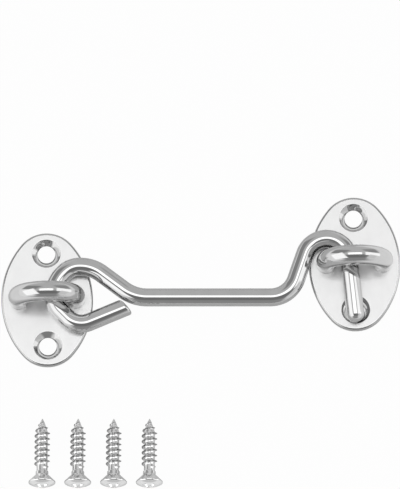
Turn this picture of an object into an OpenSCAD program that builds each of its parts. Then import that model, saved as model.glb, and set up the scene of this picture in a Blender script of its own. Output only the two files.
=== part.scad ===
// Hook and eye latch: two oval plates with U staples, a bent wire hook and four wood screws.
// The plates' backs lie on z = 0. The origin is the middle of the hook plate's screw pattern,
// +X runs from the hook plate towards the eye plate and +Z is the plates' outward normal.

/* [Plates] */
// Length of an oval plate, along Y
plate_l = 37.7; // [36:0.1:44]
// Width of an oval plate, along X
plate_w = 25.4; // [24:0.1:30]
// Thickness of a plate
plate_t = 2; // [1.8:0.1:3]
// Radius of the plate's two narrow ends, seen from the front
plate_end_r = 9; // [8.6:0.1:11]
// Radius of the plate's polished front edge
plate_edge_r = 0.6; // [0.4:0.1:1.4]
// Distance between a plate's two screw holes
hole_pitch = 26; // [25:0.5:28]
// Diameter of a screw hole
hole_d = 4.9; // [4.5:0.1:5.2]
// Diameter of a hole's countersink at the plate's face
sink_d = 7.8; // [7:0.1:8]

/* [Staples] */
// Diameter of a staple's wire
staple_wire_d = 5.5; // [4.5:0.1:6]
// Distance between the middles of a staple's two legs
staple_span = 15.8; // [15:0.2:17]
// Clear height under a staple's crown, from the plate's face
staple_clear = 9; // [8.4:0.2:14]
// Diameter of the tenon that is riveted through the plate
tenon_d = 4; // [3:0.1:4.2]

/* [Hook] */
// Diameter of the hook's wire
hook_wire_d = 5; // [4:0.1:5.2]
// Gap between the hook and the plates' faces
hook_gap = 0.2; // [0.1:0.1:1]
// Gap between the eye and the staple's leg, which it hangs round
eye_gap = 0.65; // [0.3:0.05:1]
// How far the start of the eye's upper half lies above the staple's leg, along Y
eye_shift_y = 0.4; // [0:0.1:0.8]
// Radius of the eye's back, to the middle of the wire
eye_back_r = 8.7; // [8.4:0.1:9.2]
// Radius of the eye's upper shoulder
eye_shoulder_r = 6; // [5.6:0.1:6.6]
// Radius of the eye's top
eye_top_r = 9.6; // [9:0.1:10.4]
// Length of the straight stretch at the eye's back
eye_back_l = 0.6; // [0.4:0.1:1]
// Radius of the bend from the eye's back into its slant
eye_heel_r = 5; // [4.6:0.1:5.4]
// Length of the eye's slant
eye_slant_l = 3.2; // [2.8:0.1:3.6]
// Radius of the bend from the slant into the lower arm
eye_chin_r = 5.5; // [5:0.1:6]
// Slope of the eye's upper arm
arm_angle = 37; // [36:0.5:38]
// Radius of the bend from the upper arm into the rod
arm_bend_r = 11; // [9:0.5:12]
// Slope of the eye's lower arm, which is the wire's cut end
tail_angle = 23; // [20:0.5:23.5]
// Length of the eye's lower arm, along its middle
tail_l = 11.2; // [8.5:0.1:11.3]
// Slant of the lower arm's cut end, which keeps it clear of the upper arm
tail_cut_angle = 18; // [16:1:25]
// How far the rod lies below the line through the hook staple's legs
rod_drop = 0.2; // [0:0.05:0.5]
// Slope of the rod at rest, about the staple's leg
rod_slope = -1.2; // [-2:0.1:0]
// Length of the straight rod
rod_l = 34.1; // [30:0.1:120]
// Radius of the bend from the rod up into the neck
neck_bend_r = 7.5; // [6.5:0.5:9]
// Slope of the neck
neck_angle = 71; // [68:1:76]
// Length of the neck's straight stretch
neck_l = 7.7; // [7:0.1:10]
// Radius of the nose's arch, to the middle of the wire
arch_r = 6.3; // [6.1:0.1:7.4]
// Angle that the nose's arch turns through
arch_angle = 155; // [152:1:158]
// How far the eye staple's leg lies to the left of the arch's middle
catch_shift_x = 0.1; // [0:0.05:0.4]
// How far the eye staple's leg lies below the arch's middle
catch_shift_y = 0.3; // [0:0.05:0.6]
// Length of the nose's straight tip
tip_l = 15.7; // [13:0.1:18]
// Height of the tip's rounded end
tip_dome_h = 2.2; // [1.5:0.1:2.4]

/* [Screws] */
// Length of a screw, without the domed top of its head
screw_l = 18.6; // [17:0.1:25]
// Diameter of a screw's head
head_d = 7.4; // [7:0.1:7.8]
// Height of the head's straight rim
head_rim_h = 0.4; // [0.3:0.1:0.8]
// Height of the head's domed top
head_dome_h = 1.1; // [0.9:0.1:1.4]
// Diameter of the plain shank under the head
shank_d = 3.5; // [3.3:0.1:3.9]
// Length of the plain shank
shank_l = 1; // [0.8:0.1:3]
// Diameter over the thread
thread_d = 4.3; // [4:0.1:4.4]
// Diameter of the core under the thread
core_d = 3; // [2.6:0.1:3.2]
// Pitch of the thread
thread_pitch = 1.6; // [1.4:0.1:2]
// Length of the tapered point
point_l = 4; // [3:0.5:5]
// Free space between two screws' heads
screw_gap = 2.45; // [1:0.05:4]
// Free space between the hook plate and the row of screws
screw_row_gap = 14.7; // [5:0.1:20]
// Turn of the row of screws on the surface that it lies on
screw_row_turn = -1.2; // [-5:0.1:5]

/* [Hidden] */
$fn = 48;

steel = [0.82, 0.83, 0.84];
bright_steel = [0.88, 0.89, 0.9];

// Where two rounds run smoothly into each other, the inner one is this much smaller
hair = 0.02;
// How far a straight stretch of wire runs into the bend that it meets
lap = 0.1;
// How far a cutter reaches past the faces that it cuts
past = 1;

// An oval of four arcs: the side arcs run smoothly into the end arcs
plate_half_l = plate_l / 2;
plate_half_w = plate_w / 2;
end_centre_y = plate_half_l - plate_end_r;
side_r = (plate_half_w ^ 2 + end_centre_y ^ 2 - plate_end_r ^ 2) / (2 * (plate_half_w - plate_end_r));
side_centre_x = side_r - plate_half_w;
side_half_angle = atan2(end_centre_y, side_centre_x);
edge_steps = 6;
sink_depth = (sink_d - hole_d) / 2;

staple_wire_r = staple_wire_d / 2;
leg_x = staple_span / 2;
crown_z = plate_t + staple_clear + staple_wire_r;
leg_top_z = crown_z - leg_x;
tenon_r = tenon_d / 2;
tenon_play = 0.04;

// The eye hangs round the hook staple's leg. Its corners turn through one angle,
// and a short straight stretch lies between each two of its upper bends
wire_r = hook_wire_d / 2;
hook_z = plate_t + hook_gap + wire_r;
turn = 45;
bend_gap = 0.3;
eye_back_x = leg_x - staple_wire_r - eye_gap - wire_r;
shoulder_x = eye_back_x + eye_back_r * (1 - cos(turn)) + bend_gap * cos(turn);
shoulder_y = eye_shift_y + (eye_back_r + bend_gap) * sin(turn);
eye_top_x = shoulder_x + eye_shoulder_r * sin(turn) + bend_gap;
eye_top_y = shoulder_y + eye_shoulder_r * (1 - cos(turn));
arm_fall = eye_top_y + rod_drop - (eye_top_r + arm_bend_r) * (1 - cos(arm_angle));
arm_l = arm_fall / sin(arm_angle);
rod_start_x = eye_top_x + (eye_top_r + arm_bend_r) * sin(arm_angle) + arm_l * cos(arm_angle);
slant_x = eye_back_x + eye_heel_r * (1 - cos(turn)) + eye_slant_l * cos(turn);
slant_y = eye_shift_y - eye_back_l - (eye_heel_r + eye_slant_l) * sin(turn);
tail_x = slant_x + eye_chin_r * (sin(turn) + sin(tail_angle));
tail_y = slant_y + eye_chin_r * (cos(turn) - cos(tail_angle));
tail_end_l = tail_l + wire_r * tan(tail_cut_angle);
tail_cut_size = 2 * hook_wire_d;

// The nose's arch goes round the eye staple's near leg, which places the eye plate
neck_top_x = rod_start_x + rod_l + neck_bend_r * sin(neck_angle) + neck_l * cos(neck_angle);
neck_top_y = neck_bend_r * (1 - cos(neck_angle)) + neck_l * sin(neck_angle) - rod_drop;
arch_x = neck_top_x + arch_r * sin(neck_angle) - leg_x;
arch_y = neck_top_y - arch_r * cos(neck_angle);
catch_x = leg_x + arch_x * cos(rod_slope) - arch_y * sin(rod_slope) - catch_shift_x;
catch_y = arch_x * sin(rod_slope) + arch_y * cos(rod_slope) - catch_shift_y;
eye_plate_at = [catch_x + leg_x, catch_y, 0];

// The wire's path between its two ends: [length, 0] is straight, [radius, angle] a bend
hook_path = [
    [eye_chin_r, -(turn + tail_angle)],
    [eye_slant_l, 0],
    [eye_heel_r, -turn],
    [eye_back_l, 0],
    [eye_back_r, -turn],
    [bend_gap, 0],
    [eye_shoulder_r, -turn],
    [bend_gap, 0],
    [eye_top_r, -arm_angle],
    [arm_l, 0],
    [arm_bend_r, arm_angle],
    [rod_l, 0],
    [neck_bend_r, neck_angle],
    [neck_l, 0],
    [arch_r, -arch_angle]
];
dome_steps = 6;
dome_end_angle = 78;

head_r = head_d / 2;
core_r = core_d / 2;
thread_r = thread_d / 2;
shank_r = shank_d / 2;
shank_z = screw_l - head_rim_h - (head_r - shank_r) - shank_l;
head_dome_r = (head_r ^ 2 + head_dome_h ^ 2) / (2 * head_dome_h);
head_dome_z = screw_l + head_dome_h - head_dome_r;
head_dome_angle = asin(head_r / head_dome_r);
head_dome_steps = 5;
recess_share_l = 0.58;
recess_share_w = 0.15;
recess_l = recess_share_l * head_d;
recess_w = recess_share_w * head_d;
recess_depth = 1.4;
// A screw on the table rests on its head's rim and on its last full thread
rim_z = screw_l - head_rim_h;
lie_angle = asin((head_r - thread_r) / (rim_z - point_l));
screw_pitch = head_d + screw_gap;
screw_first_x = -1.8;
screw_tip_y = -plate_half_l - screw_row_gap;
rest_gap = 0.03;
screw_tip_z = rest_gap + head_r * cos(lie_angle) - rim_z * sin(lie_angle);

// A thread's rows of points: the root runs one turn further than the crest
thread_n = 20;
thread_lead = 0.3;
thread_end_gap = 0.2;
root_power = 0.75;
thread_count = ceil(thread_n * (shank_z - thread_lead) / thread_pitch);
fade_share = 0.6;
fade_l = fade_share * thread_pitch;

function along(step) = thread_lead + thread_pitch * step / thread_n;
function ramp(x) = max(0, min(1, x));
function root_r(z) = core_r * pow(ramp(z / point_l), root_power);
function thread_fade(z) = ramp((shank_z - thread_end_gap - z) / fade_l);
function thread_h(z) = (thread_r - core_r) * ramp(z / point_l) * thread_fade(z);
function ring_point(r, step, z) = [r * cos(360 * step / thread_n), r * sin(360 * step / thread_n), z];
function root_point(step) = ring_point(root_r(along(step)), step, along(step));
function crest_point(step) =
    let (z = along(step) + thread_pitch / 2)
    ring_point(root_r(z) + thread_h(z), step, z);

// Two triangles for the four-sided face a, b, c, d
function quad(a, b, c, d) = [[a, b, c], [a, c, d]];

module thread() {
    root_n = thread_count + thread_n + 1;
    points = concat(
        [for (i = [0 : root_n - 1]) root_point(i)],
        [for (i = [0 : thread_count]) crest_point(i)],
        [[0, 0, 0], [0, 0, along(root_n) + thread_lead]]
    );
    point_end = root_n + thread_count + 1;
    head_end = point_end + 1;
    last_root = root_n - 1;
    last_crest = root_n + thread_count;
    flanks = [
        for (i = [0 : thread_count - 1])
            let (c = root_n + i)
            let (above = i + thread_n)
            each concat(quad(i, c, c + 1, i + 1), quad(c, above, above + 1, c + 1))
    ];
    ends = [
        for (i = [0 : thread_n - 1])
            let (top = thread_count + i)
            each [[point_end, i, i + 1], [head_end, top + 1, top]]
    ];
    steps = [
        [point_end, thread_n, root_n],
        [point_end, root_n, 0],
        [head_end, thread_count, last_crest],
        [head_end, last_crest, last_root]
    ];
    polyhedron(points, concat(flanks, ends, steps));
}

// Half section of a plate's edge at radius r, with its front edge rounded
module edge_section(r) {
    rounded = [
        for (i = [0 : edge_steps])
            let (a = 90 * i / edge_steps)
            [r - plate_edge_r * (1 - cos(a)), plate_t - plate_edge_r * (1 - sin(a))]
    ];
    polygon(concat([[0, 0], [r, 0]], rounded, [[0, plate_t]]));
}

module plate_blank() {
    for (s = [-1, 1]) {
        translate([-s * side_centre_x, 0, 0])
            rotate((s > 0 ? 0 : 180) - side_half_angle)
                rotate_extrude(angle = 2 * side_half_angle, $fn = 192)
                    edge_section(side_r);
        translate([0, s * end_centre_y, 0])
            rotate_extrude($fn = 96)
                edge_section(plate_end_r - hair);
    }
}

module screw_hole() {
    translate([0, 0, -past])
        cylinder(h = plate_t + 2 * past, d = hole_d);
    translate([0, 0, plate_t - sink_depth])
        cylinder(h = sink_depth + hair, d1 = hole_d, d2 = sink_d + 2 * hair);
}

module plate() {
    difference() {
        plate_blank();
        for (s = [-1, 1]) {
            translate([0, s * hole_pitch / 2, 0])
                screw_hole();
            translate([s * leg_x, 0, -past])
                cylinder(h = plate_t + 2 * past, r = tenon_r + tenon_play);
        }
    }
}

module staple_leg() {
    translate([0, 0, plate_t])
        cylinder(h = leg_top_z - plate_t + lap, r = staple_wire_r - hair);
    cylinder(h = plate_t, r = tenon_r);
}

module staple() {
    for (s = [-1, 1])
        translate([s * leg_x, 0, 0])
            staple_leg();
    translate([0, 0, leg_top_z])
        rotate([90, 0, 0])
            rotate_extrude(angle = 180, $fn = 96)
                translate([leg_x, 0])
                    circle(r = staple_wire_r);
}

// Draws the steps of a bent wire one after another, then the children at its end
module wire_run(steps, i = 0) {
    if (i < len(steps)) {
        size = steps[i][0];
        angle = steps[i][1];
        side = sign(angle);
        if (side == 0) {
            translate([-lap, 0, 0])
                rotate([90, 0, 90])
                    cylinder(h = size + 2 * lap, r = wire_r - hair);
            translate([size, 0, 0])
                wire_run(steps, i + 1)
                    children();
        } else {
            translate([0, side * size, 0]) {
                rotate(side > 0 ? -90 : 90 + angle)
                    rotate_extrude(angle = abs(angle), $fn = 96)
                        translate([size, 0])
                            circle(r = wire_r);
                rotate(angle)
                    translate([0, -side * size, 0])
                        wire_run(steps, i + 1)
                            children();
            }
        }
    } else {
        children();
    }
}

// The straight end of the wire, along +X, with its rounded end
module wire_tip() {
    arc = [
        for (i = [0 : dome_steps])
            let (a = dome_end_angle * i / dome_steps)
            [(wire_r - hair) * cos(a), tip_l + tip_dome_h * sin(a)]
    ];
    dome_top = tip_l + tip_dome_h * sin(dome_end_angle);
    rotate([90, 0, 90])
        rotate_extrude()
            polygon(concat([[0, -lap], [wire_r - hair, -lap]], arc, [[0, dome_top]]));
}

// The wire's cut end, along -X
module wire_tail() {
    rotate([90, 0, -90])
        difference() {
            translate([0, 0, -lap])
                cylinder(h = tail_end_l + lap, r = wire_r - hair);
            translate([0, 0, tail_l])
                rotate([0, tail_cut_angle, 0])
                    translate([0, 0, tail_cut_size / 2])
                        cube(tail_cut_size, center = true);
        }
}

// The screw stands on its point, with its axis on Z
module screw_body() {
    stem = [
        [0, shank_z],
        [shank_r, shank_z],
        [shank_r, shank_z + shank_l],
        [head_r, rim_z]
    ];
    dome = [
        for (i = [head_dome_steps : -1 : 0])
            let (a = head_dome_angle * i / head_dome_steps)
            [head_dome_r * sin(a), head_dome_z + head_dome_r * cos(a)]
    ];
    difference() {
        union() {
            thread();
            rotate_extrude()
                polygon(concat(stem, dome));
        }
        for (a = [45, 135])
            translate([0, 0, screw_l + head_dome_h])
                rotate(a)
                    cube([recess_l, recess_w, 2 * recess_depth], center = true);
    }
}

module hook_plate() {
    color(steel)
        plate();
}

module hook_staple() {
    color(bright_steel)
        staple();
}

// The hook is turned about the staple's leg to its rest slope
module hook() {
    color(bright_steel)
        translate([leg_x, 0, 0])
            rotate(rod_slope)
                translate([tail_x - leg_x, tail_y, hook_z])
                    rotate(180 + tail_angle) {
                        wire_tail();
                        wire_run(hook_path)
                            wire_tip();
                    }
}

module eye_plate() {
    color(steel)
        translate(eye_plate_at)
            plate();
}

module eye_staple() {
    color(bright_steel)
        translate(eye_plate_at)
            staple();
}

module screw(i) {
    color(bright_steel)
        translate([screw_first_x, screw_tip_y, screw_tip_z])
            rotate(screw_row_turn)
                translate([(i - 1) * screw_pitch, 0, 0])
                    rotate([90 - lie_angle, 0, 0])
                        screw_body();
}

hook_plate();
hook_staple();
hook();
eye_plate();
eye_staple();
for (i = [1 : 4])
    screw(i);
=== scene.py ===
import math

import bmesh
import bpy
from mathutils import Matrix, Vector


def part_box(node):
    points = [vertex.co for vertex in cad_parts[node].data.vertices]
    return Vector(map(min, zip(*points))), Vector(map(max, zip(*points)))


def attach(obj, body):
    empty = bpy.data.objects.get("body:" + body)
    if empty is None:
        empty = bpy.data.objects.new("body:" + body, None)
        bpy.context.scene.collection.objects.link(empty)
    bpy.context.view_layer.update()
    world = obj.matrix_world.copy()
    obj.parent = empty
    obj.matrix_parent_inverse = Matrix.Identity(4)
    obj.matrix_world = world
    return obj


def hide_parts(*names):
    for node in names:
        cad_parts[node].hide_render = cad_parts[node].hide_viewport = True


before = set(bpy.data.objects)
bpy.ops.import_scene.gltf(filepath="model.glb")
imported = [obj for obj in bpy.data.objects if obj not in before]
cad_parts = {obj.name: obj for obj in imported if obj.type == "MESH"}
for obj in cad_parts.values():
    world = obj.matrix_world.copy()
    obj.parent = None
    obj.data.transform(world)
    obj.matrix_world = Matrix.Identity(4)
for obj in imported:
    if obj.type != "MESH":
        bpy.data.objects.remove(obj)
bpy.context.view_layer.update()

MM = 0.001

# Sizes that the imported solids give, in millimetres
plate_lo, plate_hi = [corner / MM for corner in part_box("hook_plate")]
eye_lo, eye_hi = [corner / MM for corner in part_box("eye_plate")]
staple_lo, staple_hi = [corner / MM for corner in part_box("hook_staple")]
hook_lo, hook_hi = [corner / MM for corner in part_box("hook")]

PLATE_HALF_W = (plate_hi.x - plate_lo.x) / 2
PLATE_HALF_L = (plate_hi.y - plate_lo.y) / 2
PLATE_T = plate_hi.z
HOOK_PLATE_AT = Vector((0, 0, 0))
EYE_PLATE_AT = Vector(((eye_lo.x + eye_hi.x) / 2, (eye_lo.y + eye_hi.y) / 2, 0))

# Plate, an oval of four arcs
PLATE_END_R = 9.0
END_CENTRE_Y = PLATE_HALF_L - PLATE_END_R
SIDE_R = (PLATE_HALF_W**2 + END_CENTRE_Y**2 - PLATE_END_R**2) / (2 * (PLATE_HALF_W - PLATE_END_R))
SIDE_CENTRE_X = SIDE_R - PLATE_HALF_W
SIDE_HALF_ANGLE = math.atan2(END_CENTRE_Y, SIDE_CENTRE_X)
PLATE_EDGE_R = 0.6
PLATE_BACK_EDGE_R = 0.2
HOLE_PITCH = 26.0
HOLE_R = 2.45
SINK_R = 3.9
SINK_ANGLE = 45.0
SINK_EDGE_R = 0.12
TENON_HOLE_R = 2.04
FLAT_MARGIN = 0.06
OVAL_SIDE_STEPS = 44
OVAL_END_STEPS = 52
EDGE_STEPS = 8
SMALL_EDGE_STEPS = 3
HOLE_STEPS = 72
PLATE_SMOOTH_ANGLE = 30

# Staple
STAPLE_R = (staple_hi.y - staple_lo.y) / 2
LEG_X = (staple_hi.x - staple_lo.x) / 2 - STAPLE_R
LEG_TOP_Z = staple_hi.z - STAPLE_R - LEG_X
TENON_R = 2.0
FOOT_BREAK = 0.25

# Hook, from the tail's cut end to the tip
WIRE_R = (hook_hi.z - hook_lo.z) / 2
HOOK_Z = (hook_hi.z + hook_lo.z) / 2
EYE_GAP = 0.65
EYE_SHIFT_Y = 0.4
EYE_TURN = 45.0
EYE_BACK_R = 8.7
EYE_SHOULDER_R = 6.0
EYE_TOP_R = 9.6
EYE_BEND_GAP = 0.3
EYE_BACK_L = 0.6
EYE_HEEL_R = 5.0
EYE_SLANT_L = 3.2
EYE_CHIN_R = 5.5
ARM_ANGLE = 37.0
ARM_BEND_R = 11.0
TAIL_ANGLE = 23.0
TAIL_L = 11.2
TAIL_CUT_ANGLE = 18.0
TAIL_ROUND = 0.8
TAIL_ROUND_STEPS = 8
ROD_DROP = 0.2
ROD_SLOPE = -1.2
ROD_L = 34.1
NECK_BEND_R = 7.5
NECK_ANGLE = 71.0
NECK_L = 7.7
ARCH_R = 6.3
ARCH_ANGLE = 155.0
TIP_L = 15.7
TIP_DOME_H = 2.2
TIP_DOME_END = 78.0
TIP_DOME_STEPS = 14

# Round wire, for the hook and the staples
WIRE_SIDES = 72
BEND_STEP = 2.5
WIRE_SMOOTH_ANGLE = 40

# Screw, standing on its point along Z
SCREW_L = 18.6
HEAD_R = 3.7
HEAD_RIM_H = 0.4
RIM_Z = SCREW_L - HEAD_RIM_H
RIM_BREAK = 0.08
HEAD_DOME_H = 1.1
HEAD_DOME_R = (HEAD_R**2 + HEAD_DOME_H**2) / (2 * HEAD_DOME_H)
HEAD_TOP = SCREW_L + HEAD_DOME_H
# Radii of the dome's rows, from the rim to the recess
DOME_ROWS = [3.6, 3.45, 3.2, 2.9, 2.6, 2.35]
RECESS_HALF_L = 2.146
RECESS_HALF_W = 0.56
RECESS_DEPTH = 1.4
RECESS_TAPER = 0.55
RECESS_BREAK = 0.08
RECESS_TURN = 45
SHANK_L = 1.0
SHANK_R = 1.75
SHANK_Z = RIM_Z - (HEAD_R - SHANK_R) - SHANK_L
SHOULDER = 0.12
POINT_L = 4.0
CORE_R = 1.5
ROOT_POWER = 0.75
THREAD_R = 2.15
THREAD_PITCH = 1.6
THREAD_LEAD = 0.3
THREAD_STEPS = 48
THREAD_FADE_IN = 16
THREAD_FADE_OUT = 28
# Place along the pitch and height of the thread's section
THREAD_SECTION = [
    (0.0, 0.0), (0.18, 0.02), (0.3, 0.14), (0.39, 0.44), (0.45, 0.82), (0.48, 1.0),
    (0.52, 1.0), (0.55, 0.82), (0.61, 0.44), (0.7, 0.14), (0.82, 0.02),
]
# The name under which each vertex keeps its height on the thread, for the screws' steel
RISE_LAYER = "rise"
SCREW_SMOOTH_ANGLE = 35

# Row of screws, each lying on its thread and the rim of its head
SCREW_NAMES = ["screw_1", "screw_2", "screw_3", "screw_4"]
SCREW_PITCH = 9.85
SCREW_ROW_AT = (-1.8, -33.55)
SCREW_ROW_TURN = -1.2
REST_GAP = 0.03
LIE_ANGLE = math.asin((HEAD_R - THREAD_R) / (RIM_Z - POINT_L))


# Meshes

def new_object(name, bm, node, body, material, smooth_angle):
    """Turns a mesh in millimetres into a piece that stands for a CAD node."""
    bmesh.ops.recalc_face_normals(bm, faces=bm.faces)
    bmesh.ops.scale(bm, vec=(MM, MM, MM), verts=bm.verts)
    mesh = bpy.data.meshes.new(name)
    bm.to_mesh(mesh)
    bm.free()
    mesh.shade_smooth()
    mesh.set_sharp_from_angle(angle=math.radians(smooth_angle))
    mesh.materials.append(material)
    piece = bpy.data.objects.new(name, mesh)
    bpy.context.scene.collection.objects.link(piece)
    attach(piece, body)
    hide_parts(node)


def add_loop(bm, points):
    """A closed row of vertices."""
    return [bm.verts.new(p) for p in points]


def bridge(bm, low, high):
    """Four-sided faces between two closed rows with as many vertices."""
    count = len(low)
    for i in range(count):
        j = (i + 1) % count
        bm.faces.new((low[i], low[j], high[j], high[i]))


def loop_edges(bm, loop):
    """The edges along a closed row."""
    edges = []
    for i, vert in enumerate(loop):
        other = loop[(i + 1) % len(loop)]
        edge = bm.edges.get((vert, other))
        if edge is None:
            edge = bm.edges.new((vert, other))
        edges.append(edge)
    return edges


def circle(centre, radius, z, steps, start=0.0):
    """Points round a vertical axis."""
    points = []
    for i in range(steps):
        a = start + 2 * math.pi * i / steps
        points.append(Vector((centre[0] + radius * math.cos(a), centre[1] + radius * math.sin(a), z)))
    return points


def quarter(steps, last=90.0):
    """Angles of a rounding, in radians, from 0 to its last angle in degrees."""
    return [math.radians(last * i / steps) for i in range(steps + 1)]


def ahead_of(heading):
    """The unit vector along a heading in the XY plane."""
    return Vector((math.cos(heading), math.sin(heading), 0))


def left_of(heading):
    """The unit vector to the left of a heading in the XY plane."""
    return Vector((-math.sin(heading), math.cos(heading), 0))


# Plates

def oval(inset, z):
    """Points round the oval of four arcs, drawn in by an inset."""
    half = SIDE_HALF_ANGLE
    arcs = [
        (-SIDE_CENTRE_X, 0, SIDE_R, -half, half, OVAL_SIDE_STEPS),
        (0, END_CENTRE_Y, PLATE_END_R, half, math.pi - half, OVAL_END_STEPS),
        (SIDE_CENTRE_X, 0, SIDE_R, math.pi - half, math.pi + half, OVAL_SIDE_STEPS),
        (0, -END_CENTRE_Y, PLATE_END_R, math.pi + half, 2 * math.pi - half, OVAL_END_STEPS),
    ]
    points = []
    for x, y, r, start, end, steps in arcs:
        for i in range(steps):
            a = start + (end - start) * i / steps
            points.append(Vector((x + (r - inset) * math.cos(a), y + (r - inset) * math.sin(a), z)))
    return points


def edge_profile():
    """Inset and height of the plate's rim, from the back face to the front face."""
    rows = [(PLATE_BACK_EDGE_R + FLAT_MARGIN, 0.0)]
    for a in quarter(SMALL_EDGE_STEPS):
        rows.append((PLATE_BACK_EDGE_R * (1 - math.sin(a)), PLATE_BACK_EDGE_R * (1 - math.cos(a))))
    for a in quarter(EDGE_STEPS):
        rows.append((PLATE_EDGE_R * (1 - math.cos(a)), PLATE_T - PLATE_EDGE_R * (1 - math.sin(a))))
    rows.append((PLATE_EDGE_R + FLAT_MARGIN, PLATE_T))
    return rows


def sink_profile():
    """Radius and height of a screw hole, from the front face to the back face."""
    rows = [(SINK_R + SINK_EDGE_R + FLAT_MARGIN, PLATE_T)]
    for a in quarter(SMALL_EDGE_STEPS, SINK_ANGLE):
        reach = SINK_EDGE_R * (1 - math.sin(a) / math.sin(math.radians(SINK_ANGLE)))
        drop = SINK_EDGE_R * (1 - math.cos(a))
        rows.append((SINK_R + reach, PLATE_T - drop))
    rows.append((HOLE_R, PLATE_T - (SINK_R - HOLE_R)))
    rows.append((HOLE_R, PLATE_BACK_EDGE_R))
    rows.append((HOLE_R + PLATE_BACK_EDGE_R, 0.0))
    rows.append((HOLE_R + PLATE_BACK_EDGE_R + FLAT_MARGIN, 0.0))
    return rows


def make_plate(name, at, body, material):
    """An oval plate with two screw holes and two holes for the staple's tenons."""
    bm = bmesh.new()
    rim = [add_loop(bm, oval(inset, z)) for inset, z in edge_profile()]
    for low, high in zip(rim, rim[1:]):
        bridge(bm, low, high)
    front = loop_edges(bm, rim[-1])
    back = loop_edges(bm, rim[0])
    for side in (-1, 1):
        hole_at = (0, side * HOLE_PITCH / 2)
        rings = [add_loop(bm, circle(hole_at, r, z, HOLE_STEPS)) for r, z in sink_profile()]
        for high, low in zip(rings, rings[1:]):
            bridge(bm, high, low)
        front += loop_edges(bm, rings[0])
        back += loop_edges(bm, rings[-1])
        leg_at = (side * LEG_X, 0)
        top = add_loop(bm, circle(leg_at, TENON_HOLE_R, PLATE_T, HOLE_STEPS))
        bottom = add_loop(bm, circle(leg_at, TENON_HOLE_R, 0.0, HOLE_STEPS))
        bridge(bm, top, bottom)
        front += loop_edges(bm, top)
        back += loop_edges(bm, bottom)
    bmesh.ops.triangle_fill(bm, edges=front, use_beauty=True, normal=(0, 0, 1))
    bmesh.ops.triangle_fill(bm, edges=back, use_beauty=True, normal=(0, 0, -1))
    bmesh.ops.translate(bm, verts=bm.verts, vec=at)
    new_object(name, bm, body, body, material, PLATE_SMOOTH_ANGLE)


# Wire

def sweep(bm, rows, sides):
    """A round tube through rows of (middle, across, up, radius), closed at both ends."""
    loops = []
    for middle, across, up, radius in rows:
        points = []
        for i in range(sides):
            a = 2 * math.pi * i / sides
            points.append(middle + radius * (math.cos(a) * across + math.sin(a) * up))
        loops.append(add_loop(bm, points))
    for low, high in zip(loops, loops[1:]):
        bridge(bm, low, high)
    bm.faces.new(list(reversed(loops[0])))
    bm.faces.new(loops[-1])


def flat_row(point, heading, radius, skew=0.0):
    """A ring square to a heading in the XY plane, or slanted by a skew."""
    across = left_of(heading) - skew * ahead_of(heading)
    return point.copy(), across, Vector((0, 0, 1)), radius


def run_wire(rows, point, heading, steps):
    """Adds the rings of straight and bent stretches and returns where they end."""
    for size, turn in steps:
        if turn == 0:
            point = point + size * ahead_of(heading)
            rows.append(flat_row(point, heading, WIRE_R))
            continue
        side = math.copysign(1, turn)
        centre = point + side * size * left_of(heading)
        count = max(2, math.ceil(abs(turn) / BEND_STEP))
        for i in range(1, count + 1):
            h = heading + math.radians(turn) * i / count
            point = centre - side * size * left_of(h)
            rows.append(flat_row(point, h, WIRE_R))
        heading += math.radians(turn)
    return point, heading


def hook_start():
    """Where the wire's path leaves the tail, and the length of the upper arm."""
    turn = math.radians(EYE_TURN)
    arm = math.radians(ARM_ANGLE)
    tail = math.radians(TAIL_ANGLE)
    back_x = LEG_X - STAPLE_R - EYE_GAP - WIRE_R
    top_y = EYE_SHIFT_Y + (EYE_BACK_R + EYE_BEND_GAP) * math.sin(turn)
    top_y += EYE_SHOULDER_R * (1 - math.cos(turn))
    fall = top_y + ROD_DROP - (EYE_TOP_R + ARM_BEND_R) * (1 - math.cos(arm))
    slant_x = back_x + EYE_HEEL_R * (1 - math.cos(turn)) + EYE_SLANT_L * math.cos(turn)
    slant_y = EYE_SHIFT_Y - EYE_BACK_L - (EYE_HEEL_R + EYE_SLANT_L) * math.sin(turn)
    x = slant_x + EYE_CHIN_R * (math.sin(turn) + math.sin(tail))
    y = slant_y + EYE_CHIN_R * (math.cos(turn) - math.cos(tail))
    return Vector((x, y, HOOK_Z)), fall / math.sin(arm)


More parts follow.
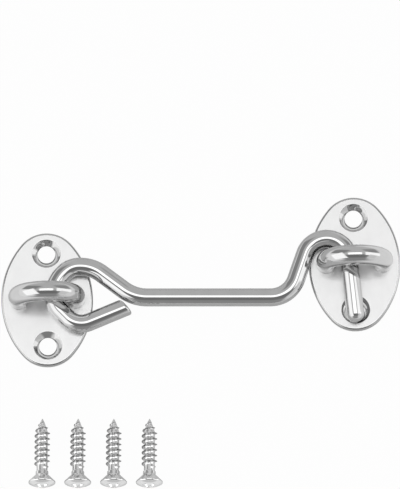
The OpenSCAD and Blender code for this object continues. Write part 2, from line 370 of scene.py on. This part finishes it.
def make_hook(material):
    """The hook's wire: a slanted and rounded tail, the path of straights and bends, and a domed tip."""
    start, arm_l = hook_start()
    heading = math.radians(180 + TAIL_ANGLE)
    forward = ahead_of(heading)
    end = start - TAIL_L * forward
    skew = math.tan(math.radians(TAIL_CUT_ANGLE))
    rows = []
    for a in quarter(TAIL_ROUND_STEPS):
        inset = TAIL_ROUND * (1 - math.sin(a))
        depth = TAIL_ROUND * (1 - math.cos(a))
        rows.append(flat_row(end + depth * forward, heading, WIRE_R - inset, skew))
    rows.append(flat_row(start, heading, WIRE_R))
    # Length and 0 for a straight, radius and turn in degrees for a bend
    steps = [
        (EYE_CHIN_R, -(EYE_TURN + TAIL_ANGLE)),
        (EYE_SLANT_L, 0),
        (EYE_HEEL_R, -EYE_TURN),
        (EYE_BACK_L, 0),
        (EYE_BACK_R, -EYE_TURN),
        (EYE_BEND_GAP, 0),
        (EYE_SHOULDER_R, -EYE_TURN),
        (EYE_BEND_GAP, 0),
        (EYE_TOP_R, -ARM_ANGLE),
        (arm_l, 0),
        (ARM_BEND_R, ARM_ANGLE),
        (ROD_L, 0),
        (NECK_BEND_R, NECK_ANGLE),
        (NECK_L, 0),
        (ARCH_R, -ARCH_ANGLE),
        (TIP_L, 0),
    ]
    point, heading = run_wire(rows, start, heading, steps)
    forward = ahead_of(heading)
    for a in quarter(TIP_DOME_STEPS, TIP_DOME_END)[1:]:
        rows.append(flat_row(point + TIP_DOME_H * math.sin(a) * forward, heading, WIRE_R * math.cos(a)))
    bm = bmesh.new()
    sweep(bm, rows, WIRE_SIDES)
    leg = Vector((LEG_X, 0, 0))
    slope = Matrix.Rotation(math.radians(ROD_SLOPE), 3, "Z")
    bmesh.ops.rotate(bm, cent=leg, matrix=slope, verts=bm.verts)
    new_object("hook_wire", bm, "hook", "hook", material, WIRE_SMOOTH_ANGLE)


def make_staple(name, at, node, body, material):
    """A staple with a half-round crown, two legs and a tenon under each."""
    across = Vector((0, 1, 0))
    right = Vector((1, 0, 0))
    crown = Vector((0, 0, LEG_TOP_Z))
    # Height and radius along a leg
    leg = [
        (0.0, TENON_R),
        (PLATE_T, TENON_R),
        (PLATE_T, STAPLE_R - FOOT_BREAK),
        (PLATE_T + FOOT_BREAK, STAPLE_R),
    ]
    rows = []
    for z, r in leg:
        rows.append((Vector((LEG_X, 0, z)), across, -right, r))
    count = math.ceil(180 / BEND_STEP)
    for i in range(count + 1):
        a = math.pi * i / count
        out = Vector((math.cos(a), 0, math.sin(a)))
        rows.append((crown + LEG_X * out, across, -out, STAPLE_R))
    for z, r in reversed(leg):
        rows.append((Vector((-LEG_X, 0, z)), across, right, r))
    bm = bmesh.new()
    sweep(bm, rows, WIRE_SIDES)
    bmesh.ops.translate(bm, verts=bm.verts, vec=at)
    new_object(name, bm, node, body, material, WIRE_SMOOTH_ANGLE)


# Screws

def ramp(x):
    """A value held between nought and one."""
    return max(0.0, min(1.0, x))


def root_radius(z):
    """Radius at the thread's root, drawn in towards the point."""
    return CORE_R * ramp(z / POINT_L) ** ROOT_POWER


def thread_surface(bm):
    """The thread as one helical strip. Returns the open ring at the shank and the angle it starts at."""
    turns = (SHANK_Z - SHOULDER - THREAD_LEAD) / THREAD_PITCH - 1
    last = int(THREAD_STEPS * turns)
    rise = bm.verts.layers.float.new(RISE_LAYER)
    rows = []
    for i in range(last + THREAD_STEPS + 1):
        a = 2 * math.pi * i / THREAD_STEPS
        fade = ramp(i / THREAD_FADE_IN) * ramp((last - i) / THREAD_FADE_OUT)
        # Past the strip's end only its lower edge runs on, for one turn
        section = THREAD_SECTION if i <= last else THREAD_SECTION[:1]
        column = []
        for place, height in section:
            z = THREAD_LEAD + THREAD_PITCH * (i / THREAD_STEPS + place)
            r = root_radius(z) + (THREAD_R - CORE_R) * ramp(z / POINT_L) * fade * height
            vertex = bm.verts.new((r * math.cos(a), r * math.sin(a), z))
            vertex[rise] = fade * height
            column.append(vertex)
        rows.append(column)
    # The strip's upper edge is its lower edge one turn on
    for i in range(last + 1):
        rows[i].append(rows[i + THREAD_STEPS][0])
    for i in range(last):
        low, high = rows[i], rows[i + 1]
        for j in range(len(THREAD_SECTION)):
            bm.faces.new((low[j], high[j], high[j + 1], low[j + 1]))
    point = bm.verts.new((0, 0, 0))
    for i in range(THREAD_STEPS):
        bm.faces.new((point, rows[i + 1][0], rows[i][0]))
    bm.faces.new([point] + rows[0])
    start = 2 * math.pi * last / THREAD_STEPS
    ring = add_loop(bm, circle((0, 0), CORE_R, SHANK_Z - SHOULDER, THREAD_STEPS, start))
    edge = [rows[last + i][0] for i in range(THREAD_STEPS + 1)]
    for i in range(1, THREAD_STEPS):
        bm.faces.new((edge[i], edge[i + 1], ring[(i + 1) % THREAD_STEPS], ring[i]))
    bm.faces.new([edge[0], edge[1], ring[1], ring[0]] + list(reversed(rows[last][1:])))
    return ring, start


def dome_z(r):
    """Height of the head's domed top at a radius."""
    return HEAD_TOP - HEAD_DOME_R + math.sqrt(HEAD_DOME_R**2 - r**2)


def cross(grow, share):
    """The corners of the cross recess on the dome, grown by a margin and scaled by a share."""
    long = (RECESS_HALF_L + grow) * share
    wide = (RECESS_HALF_W + grow) * share
    arm = [(long, -wide), (long, wide), (wide, wide)]
    points = []
    for k in range(4):
        turn = Matrix.Rotation(math.radians(RECESS_TURN + 90 * k), 2)
        for corner in arm:
            x, y = turn @ Vector(corner)
            points.append(Vector((x, y, dome_z(math.hypot(x, y)))))
    return points


def lay_screw(place):
    """The matrix that lays a standing screw in its place in the row."""
    tip_z = REST_GAP + HEAD_R * math.cos(LIE_ANGLE) - RIM_Z * math.sin(LIE_ANGLE)
    row = Matrix.Translation((SCREW_ROW_AT[0], SCREW_ROW_AT[1], tip_z))
    row @= Matrix.Rotation(math.radians(SCREW_ROW_TURN), 4, "Z")
    row @= Matrix.Translation((place * SCREW_PITCH, 0, 0))
    row @= Matrix.Rotation(math.pi / 2 - LIE_ANGLE, 4, "X")
    return row


def make_screw(node, place, material):
    """A screw with its thread, shank, cone, domed head and cross recess."""
    bm = bmesh.new()
    ring, start = thread_surface(bm)
    profile = [
        (SHANK_R - SHOULDER, SHANK_Z - SHOULDER / 4),
        (SHANK_R, SHANK_Z + SHOULDER),
        (SHANK_R, SHANK_Z + SHANK_L - SHOULDER),
        (SHANK_R + SHOULDER / 3, SHANK_Z + SHANK_L + SHOULDER / 2),
        (HEAD_R - RIM_BREAK, RIM_Z - RIM_BREAK),
        (HEAD_R, RIM_Z + RIM_BREAK / 2),
        (HEAD_R, SCREW_L - RIM_BREAK),
    ]
    profile += [(r, dome_z(r)) for r in DOME_ROWS]
    for r, z in profile:
        above = add_loop(bm, circle((0, 0), r, z, THREAD_STEPS, start))
        bridge(bm, ring, above)
        ring = above
    mouth = add_loop(bm, cross(RECESS_BREAK, 1.0))
    wall = add_loop(bm, [p - Vector((0, 0, RECESS_BREAK)) for p in cross(0.0, 1.0)])
    pit_z = HEAD_TOP - RECESS_DEPTH
    pit = add_loop(bm, [Vector((p.x, p.y, pit_z)) for p in cross(0.0, RECESS_TAPER)])
    bridge(bm, mouth, wall)
    bridge(bm, wall, pit)
    bm.faces.new(pit)
    edges = loop_edges(bm, ring) + loop_edges(bm, mouth)
    bmesh.ops.triangle_fill(bm, edges=edges, use_beauty=True, normal=(0, 0, 1))
    bmesh.ops.transform(bm, matrix=lay_screw(place), verts=bm.verts)
    new_object(node + "_thread", bm, node, node, material, SCREW_SMOOTH_ANGLE)


# Shader nodes

def feed(tree, socket, value):
    """Sets a socket to a number, or links it to an output."""
    if isinstance(value, float):
        socket.default_value = value
    else:
        tree.links.new(value, socket)


def math_node(tree, operation, first, second=0.0):
    """One sum on one or two values."""
    node = tree.nodes.new("ShaderNodeMath")
    node.operation = operation
    feed(tree, node.inputs[0], first)
    feed(tree, node.inputs[1], second)
    return node.outputs[0]


def map_range(tree, value, source, target=(0.0, 1.0), interpolation="LINEAR"):
    """Maps one range of values onto another, and holds what lies outside."""
    node = tree.nodes.new("ShaderNodeMapRange")
    node.interpolation_type = interpolation
    node.inputs["From Min"].default_value = source[0]
    node.inputs["From Max"].default_value = source[1]
    node.inputs["To Min"].default_value = target[0]
    node.inputs["To Max"].default_value = target[1]
    tree.links.new(value, node.inputs["Value"])
    return node.outputs["Result"]


def blend(tree, kind, share, below, above):
    """Mixes two values or colours by a share that varies from place to place."""
    node = tree.nodes.new("ShaderNodeMix")
    node.data_type = kind
    factor, first, second = [socket for socket in node.inputs if socket.enabled]
    tree.links.new(share, factor)
    feed(tree, first, below)
    feed(tree, second, above)
    return [socket for socket in node.outputs if socket.enabled][0]


def noise(tree, coords, scale, detail, stretch):
    """A noise that can be drawn out along an axis, as its plain output."""
    mapping = tree.nodes.new("ShaderNodeMapping")
    mapping.inputs["Scale"].default_value = stretch
    tree.links.new(coords, mapping.inputs["Vector"])
    texture = tree.nodes.new("ShaderNodeTexNoise")
    texture.inputs["Scale"].default_value = scale
    texture.inputs["Detail"].default_value = detail
    tree.links.new(mapping.outputs["Vector"], texture.inputs["Vector"])
    return texture.outputs[0]


# Steel

# The part of a noise's range that most of it lies in
NOISE_MIDDLE = (0.3, 0.7)
CLOUD_SCALE = 260.0
CLOUD_DETAIL = 4.0
LINE_DETAIL = 3.0
BUMP_DISTANCE = 0.02 * MM
# How far a normal points up along Z where a surface turns into a flat face
FLAT_LIMITS = (0.985, 0.999)
# How high on the thread its crest begins and is full
CREST_LIMITS = (0.1, 0.6)


def tone_ramp(tree, value, tone):
    """Greys from a low to a high tone over the middle of a noise."""
    node = tree.nodes.new("ShaderNodeValToRGB")
    for element, place, grey in zip(node.color_ramp.elements, NOISE_MIDDLE, tone):
        element.position = place
        element.color = (grey, grey, grey, 1)
    tree.links.new(value, node.inputs["Fac"])
    return node.outputs["Color"]


def steel(name, tone, roughness, grain, stretch, bump, face_tone=None, face_roughness=None, crest_painted_shade=None):
    """Polished steel with cloudy tone, uneven polish and fine polishing lines.

    Flat faces that look up along Z can have a tone and a roughness of their own, and the thread's
    crests a darker tone of their own, which is painted shade along the thread."""
    material = bpy.data.materials.new(name)
    material.use_nodes = True
    tree = material.node_tree
    shader = tree.nodes["Principled BSDF"]
    shader.inputs["Metallic"].default_value = 1.0
    coords = tree.nodes.new("ShaderNodeTexCoord")
    clouds = noise(tree, coords.outputs["Object"], CLOUD_SCALE, CLOUD_DETAIL, (1, 1, 1))
    lines = noise(tree, coords.outputs["Object"], grain, LINE_DETAIL, stretch)
    colour = tone_ramp(tree, clouds, tone)
    polish = map_range(tree, lines, NOISE_MIDDLE, roughness)
    if face_tone:
        normal = tree.nodes.new("ShaderNodeSeparateXYZ")
        tree.links.new(coords.outputs["Normal"], normal.inputs[0])
        flat = map_range(tree, normal.outputs["Z"], FLAT_LIMITS)
        colour = blend(tree, "RGBA", flat, colour, tone_ramp(tree, clouds, face_tone))
        face_polish = map_range(tree, lines, NOISE_MIDDLE, face_roughness)
        polish = blend(tree, "FLOAT", flat, polish, face_polish)
    # Painted shade: the thread's crests take a darker tone in place of the dark lines of shade along the
    # thread
    if crest_painted_shade:
        rise = tree.nodes.new("ShaderNodeAttribute")
        rise.attribute_name = RISE_LAYER
        raised = map_range(tree, rise.outputs["Fac"], CREST_LIMITS)
        colour = blend(tree, "RGBA", raised, colour, tone_ramp(tree, clouds, crest_painted_shade))
    tree.links.new(colour, shader.inputs["Base Color"])
    tree.links.new(polish, shader.inputs["Roughness"])
    relief = tree.nodes.new("ShaderNodeBump")
    relief.inputs["Strength"].default_value = bump
    relief.inputs["Distance"].default_value = BUMP_DISTANCE
    tree.links.new(lines, relief.inputs["Height"])
    tree.links.new(relief.outputs["Normal"], shader.inputs["Normal"])
    return material


# Floor

FLOOR_HALF_SIZE = 6.0
FLOOR_CELLS = 4
FLOOR_AT = (40 * MM, 0.0, -0.02 * MM)
FLOOR_TONE = 0.6
# How white the floor is to the camera, and how bright it shows in metal
FLOOR_GLOW = 0.975
FLOOR_GLOSS = 0.18
# Painted light: the floor glows brighter in the metal's reflections to the left and right of the view and in
# front of the screws' heads, in patches that stand in for bounce cards that are not there
PAINTED_SIDE_GLOW = 0.85
PAINTED_SIDE_GLOW_START = 0.053
PAINTED_SIDE_GLOW_END = 0.062
PAINTED_FRONT_GLOW = 0.6
PAINTED_FRONT_GLOW_Y = -0.061
PAINTED_FRONT_GLOW_START = 0.0045
PAINTED_FRONT_GLOW_END = 0.0085


def floor_paint():
    """A pale matt paint that takes the object's shadow and shows white to the camera. In the metal's
    reflections it glows in patches, which is painted light.
    """
    material = bpy.data.materials.new("floor_paint")
    material.use_nodes = True
    tree = material.node_tree
    tree.nodes.remove(tree.nodes["Principled BSDF"])
    matt = tree.nodes.new("ShaderNodeBsdfDiffuse")
    matt.inputs["Color"].default_value = (FLOOR_TONE, FLOOR_TONE, FLOOR_TONE, 1)
    glow = tree.nodes.new("ShaderNodeEmission")
    path = tree.nodes.new("ShaderNodeLightPath")
    coords = tree.nodes.new("ShaderNodeTexCoord")
    place = tree.nodes.new("ShaderNodeSeparateXYZ")
    tree.links.new(coords.outputs["Object"], place.inputs[0])
    # Painted light: patches at the sides and in front of the screws' heads glow brighter in the metal's
    # reflections
    aside = math_node(tree, "ABSOLUTE", place.outputs["X"])
    sides = map_range(tree, aside, (PAINTED_SIDE_GLOW_START, PAINTED_SIDE_GLOW_END), (FLOOR_GLOSS, PAINTED_SIDE_GLOW))
    ahead = math_node(tree, "SUBTRACT", place.outputs["Y"], PAINTED_FRONT_GLOW_Y)
    ahead = math_node(tree, "ABSOLUTE", ahead)
    front = map_range(tree, ahead, (PAINTED_FRONT_GLOW_START, PAINTED_FRONT_GLOW_END), (PAINTED_FRONT_GLOW, FLOOR_GLOSS))
    painted_glow = math_node(tree, "MAXIMUM", sides, front)
    mirrored = math_node(tree, "ADD", path.outputs["Is Glossy Ray"], path.outputs["Is Transmission Ray"])
    mirrored = math_node(tree, "MULTIPLY", mirrored, painted_glow)
    seen = math_node(tree, "MULTIPLY", path.outputs["Is Camera Ray"], FLOOR_GLOW)
    mix = tree.nodes.new("ShaderNodeMixShader")
    tree.links.new(math_node(tree, "ADD", seen, mirrored), mix.inputs["Fac"])
    tree.links.new(matt.outputs["BSDF"], mix.inputs[1])
    tree.links.new(glow.outputs["Emission"], mix.inputs[2])
    tree.links.new(mix.outputs["Shader"], tree.nodes["Material Output"].inputs["Surface"])
    return material


def make_floor():
    """The floor, just under the object."""
    bm = bmesh.new()
    bmesh.ops.create_grid(bm, x_segments=FLOOR_CELLS, y_segments=FLOOR_CELLS, size=FLOOR_HALF_SIZE)
    mesh = bpy.data.meshes.new("floor")
    bm.to_mesh(mesh)
    bm.free()
    mesh.materials.append(floor_paint())
    floor = bpy.data.objects.new("floor", mesh)
    floor.location = FLOOR_AT
    bpy.context.scene.collection.objects.link(floor)


# Camera

AIM = Vector((42.68, 15.11, 0)) * MM
TILT = math.radians(12.5)
ROLL = math.radians(-1.2)
DISTANCE = 2.0
FRAME_W = 111.1 * MM


def make_camera():
    """A distant camera that looks down on the object, tilted a little towards the screws."""
    data = bpy.data.cameras.new("camera")
    data.sensor_fit = "HORIZONTAL"
    data.lens = data.sensor_width * DISTANCE / FRAME_W
    camera = bpy.data.objects.new("camera", data)
    camera.location = AIM + DISTANCE * Vector((0, -math.sin(TILT), math.cos(TILT)))
    camera.rotation_euler = (Matrix.Rotation(TILT, 3, "X") @ Matrix.Rotation(ROLL, 3, "Z")).to_euler()
    bpy.context.scene.collection.objects.link(camera)
    bpy.context.scene.camera = camera


# Studio

STUDIO_TONE = 0.60
CAMERA_WHITE = 1.0
# The least that a direction's height counts for, so that what lies far below stays finite
LOWEST_RISE = 0.05
# Cards and panels on the dome over the object, seen from below, with the horizon at 1.
# Each has its middle, half sizes, turn in degrees, soft edge and brightness
STUDIO_CARDS = [
    ("front_dark", (0.0, -0.70), (0.75, 0.60), 0, 0.05, 0.33),
    ("front_darkest", (0.0, -0.27), (0.34, 0.17), 0, 0.5, 0.21),
    ("left_side", (-0.86, -0.1), (0.42, 0.75), 12, 0.25, 1.0),
    ("right_side", (0.86, -0.15), (0.42, 0.7), -10, 0.25, 0.92),
    ("left_flag", (-0.46, 0.38), (0.30, 0.20), -35, 0.2, 0.30),
    ("right_flag", (0.50, 0.38), (0.24, 0.22), 30, 0.25, 0.34),
    ("left_panel", (-0.48, -0.17), (0.22, 0.33), 14, 0.08, 1.42),
    ("right_panel", (0.56, 0.02), (0.28, 0.16), 0, 0.06, 1.42),
    ("right_low", (0.50, -0.32), (0.14, 0.22), -16, 0.25, 0.79),
    ("top_strip", (0.0, 0.012), (0.18, 0.1), 0, 0.08, 1.75),
]


def soft_edge(tree, value, soft):
    """One inside a card's edge and nought outside it."""
    away = math_node(tree, "ABSOLUTE", value)
    return map_range(tree, away, (1 - soft, 1 + soft), (1.0, 0.0), "SMOOTHSTEP")


def build_studio():
    """The soft studio light, with one card laid over another, and white to the camera."""
    world = bpy.data.worlds.new("studio")
    world.use_nodes = True
    tree = world.node_tree
    coords = tree.nodes.new("ShaderNodeTexCoord").outputs["Generated"]
    parts = tree.nodes.new("ShaderNodeSeparateXYZ")
    tree.links.new(coords, parts.inputs[0])
    rise = math_node(tree, "ADD", parts.outputs["Z"], 1.0)
    rise = math_node(tree, "MAXIMUM", rise, LOWEST_RISE)
    plane = tree.nodes.new("ShaderNodeVectorMath")
    plane.operation = "SCALE"
    tree.links.new(coords, plane.inputs[0])
    tree.links.new(math_node(tree, "DIVIDE", 1.0, rise), plane.inputs["Scale"])
    level = STUDIO_TONE
    for name, middle, half, turn, soft, bright in STUDIO_CARDS:
        place = tree.nodes.new("ShaderNodeMapping")
        place.label = name
        place.vector_type = "TEXTURE"
        place.inputs["Location"].default_value = (middle[0], middle[1], 0)
        place.inputs["Rotation"].default_value = (0, 0, math.radians(turn))
        place.inputs["Scale"].default_value = (half[0], half[1], 1)
        tree.links.new(plane.outputs["Vector"], place.inputs["Vector"])
        local = tree.nodes.new("ShaderNodeSeparateXYZ")
        tree.links.new(place.outputs["Vector"], local.inputs[0])
        across = soft_edge(tree, local.outputs["X"], soft)
        along = soft_edge(tree, local.outputs["Y"], soft)
        level = blend(tree, "FLOAT", math_node(tree, "MULTIPLY", across, along), level, bright)
    path = tree.nodes.new("ShaderNodeLightPath")
    level = blend(tree, "FLOAT", path.outputs["Is Camera Ray"], level, CAMERA_WHITE)
    tree.links.new(level, tree.nodes["Background"].inputs["Color"])
    bpy.context.scene.world = world


# The part
plate_steel = steel(
    "plate_steel", tone=(0.55, 0.59), roughness=(0.06, 0.09), grain=900.0, stretch=(1, 0.4, 1), bump=0.008,
    face_tone=(0.77, 0.80), face_roughness=(0.31, 0.34),
)
staple_steel = steel(
    "staple_steel", tone=(0.63, 0.67), roughness=(0.08, 0.12), grain=700.0, stretch=(0.4, 1, 1), bump=0.03,
)
hook_steel = steel(
    "hook_steel", tone=(0.63, 0.67), roughness=(0.03, 0.06), grain=700.0, stretch=(0.3, 1, 1), bump=0.03,
)
# The screws' darker crests are painted shade along the thread
screw_steel = steel(
    "screw_steel", tone=(0.9, 0.95), roughness=(0.05, 0.09), grain=1100.0, stretch=(1, 1, 1), bump=0.01,
    crest_painted_shade=(0.38, 0.46),
)
make_plate("hook_plate_oval", HOOK_PLATE_AT, "hook_plate", plate_steel)
make_plate("eye_plate_oval", EYE_PLATE_AT, "eye_plate", plate_steel)
make_staple("hook_staple_wire", HOOK_PLATE_AT, "hook_staple", "hook_plate", staple_steel)
make_staple("eye_staple_wire", EYE_PLATE_AT, "eye_staple", "eye_plate", staple_steel)
make_hook(hook_steel)
for screw_place, screw_name in enumerate(SCREW_NAMES):
    make_screw(screw_name, screw_place, screw_steel)

# The scene round it
make_floor()
make_camera()
build_studio()
bpy.context.scene.view_settings.view_transform = "Standard"
